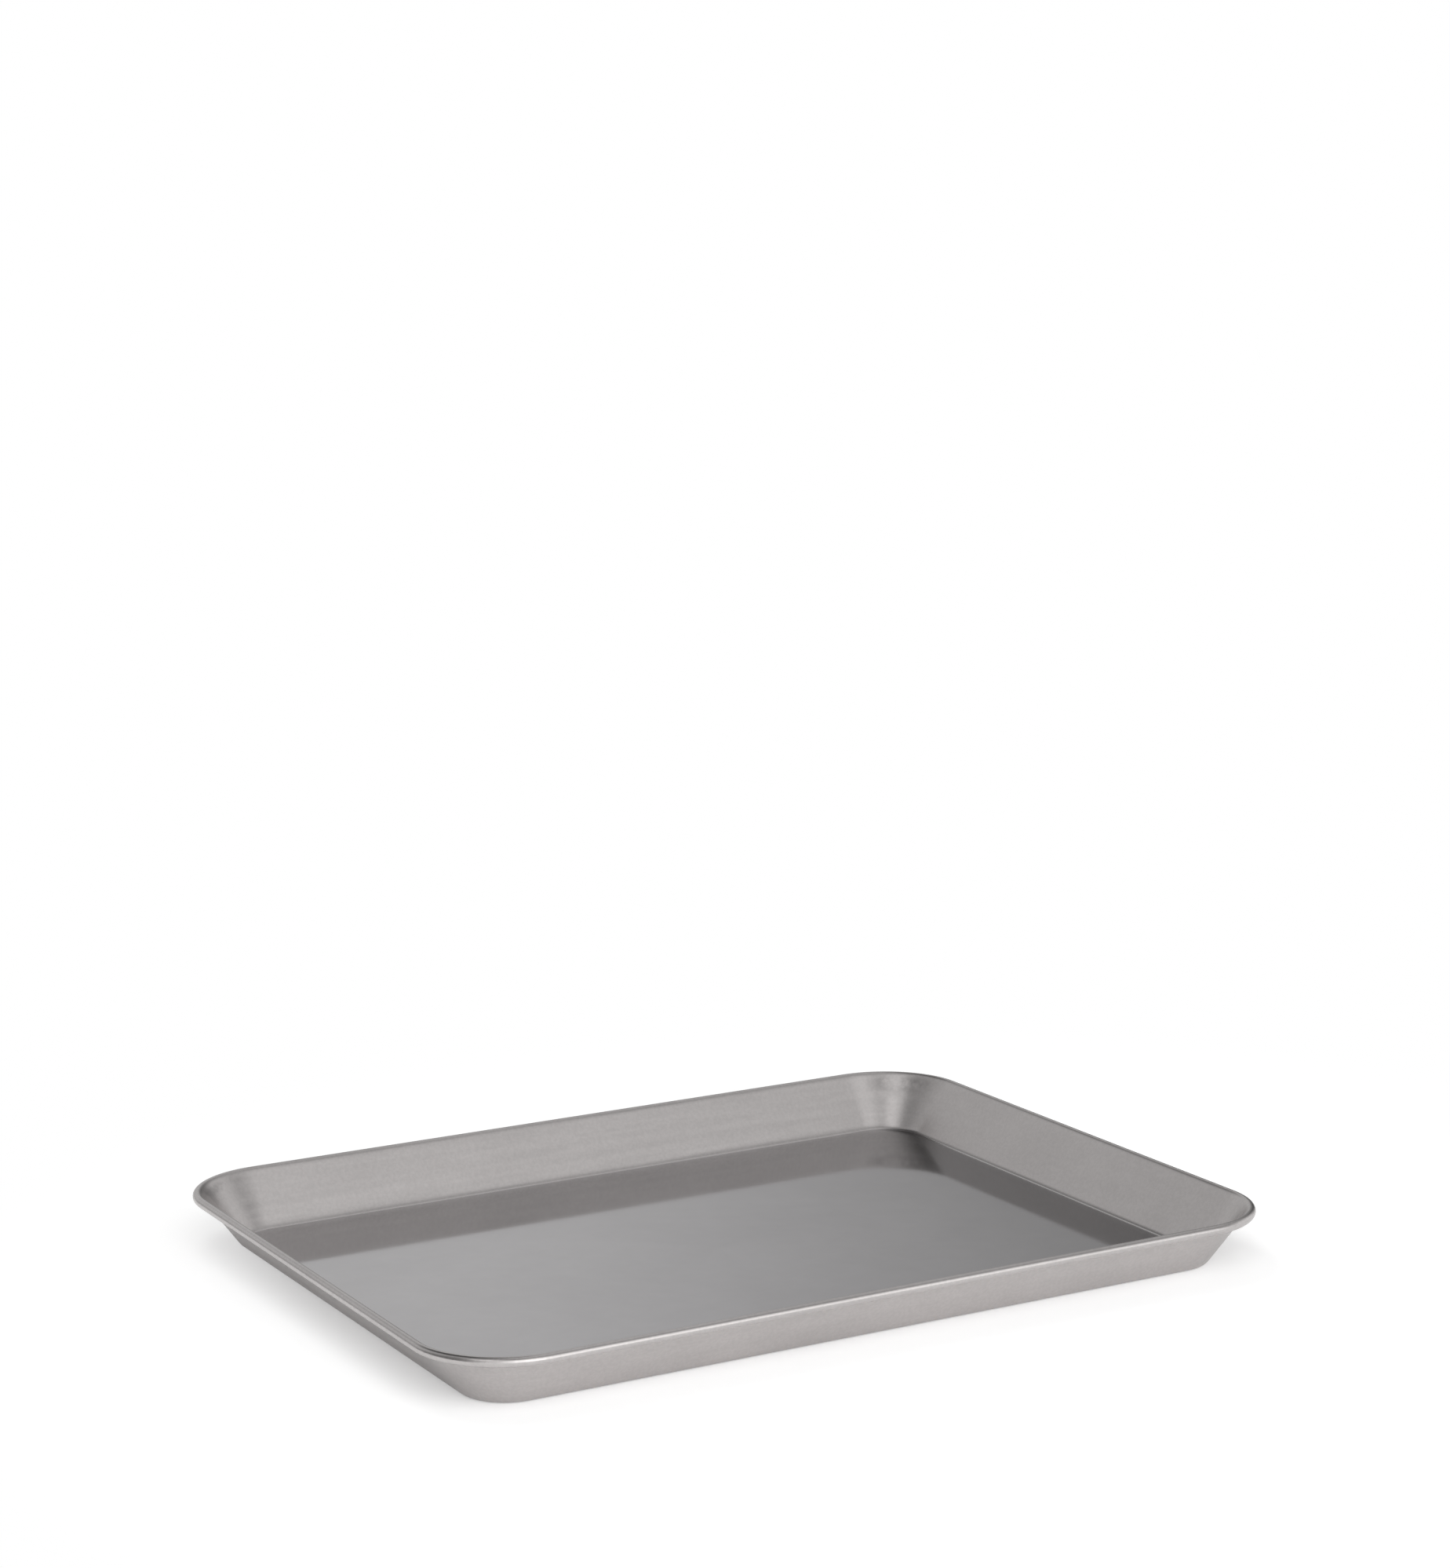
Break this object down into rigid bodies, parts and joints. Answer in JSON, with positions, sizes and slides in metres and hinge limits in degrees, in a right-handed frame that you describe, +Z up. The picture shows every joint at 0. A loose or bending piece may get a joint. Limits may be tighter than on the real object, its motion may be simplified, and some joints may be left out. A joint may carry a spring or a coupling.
{
  "type": "developing tray",
  "caption": "Shallow rectangular pressed steel tray with rounded corners, walls that lean outwards, a smooth floor and an edge rolled outwards round a wire",
  "frame": {"origin": "centre of the underside, on the surface that the tray rests on", "axes": "+X along the long side, +Y along the short side, +Z up out of the open top"},
  "size_m": [0.36, 0.28, 0.023],
  "materials": {
    "tray_steel": "pressed stainless sheet, satin walls with a faint grain along them, smoother half-mirror floor, burnished rim",
    "rim_wire_steel": "drawn steel wire"
  },
  "bodies": {
    "root": {"pan": "tray_steel", "rim_wire": "rim_wire_steel"}
  },
  "joints": []
}
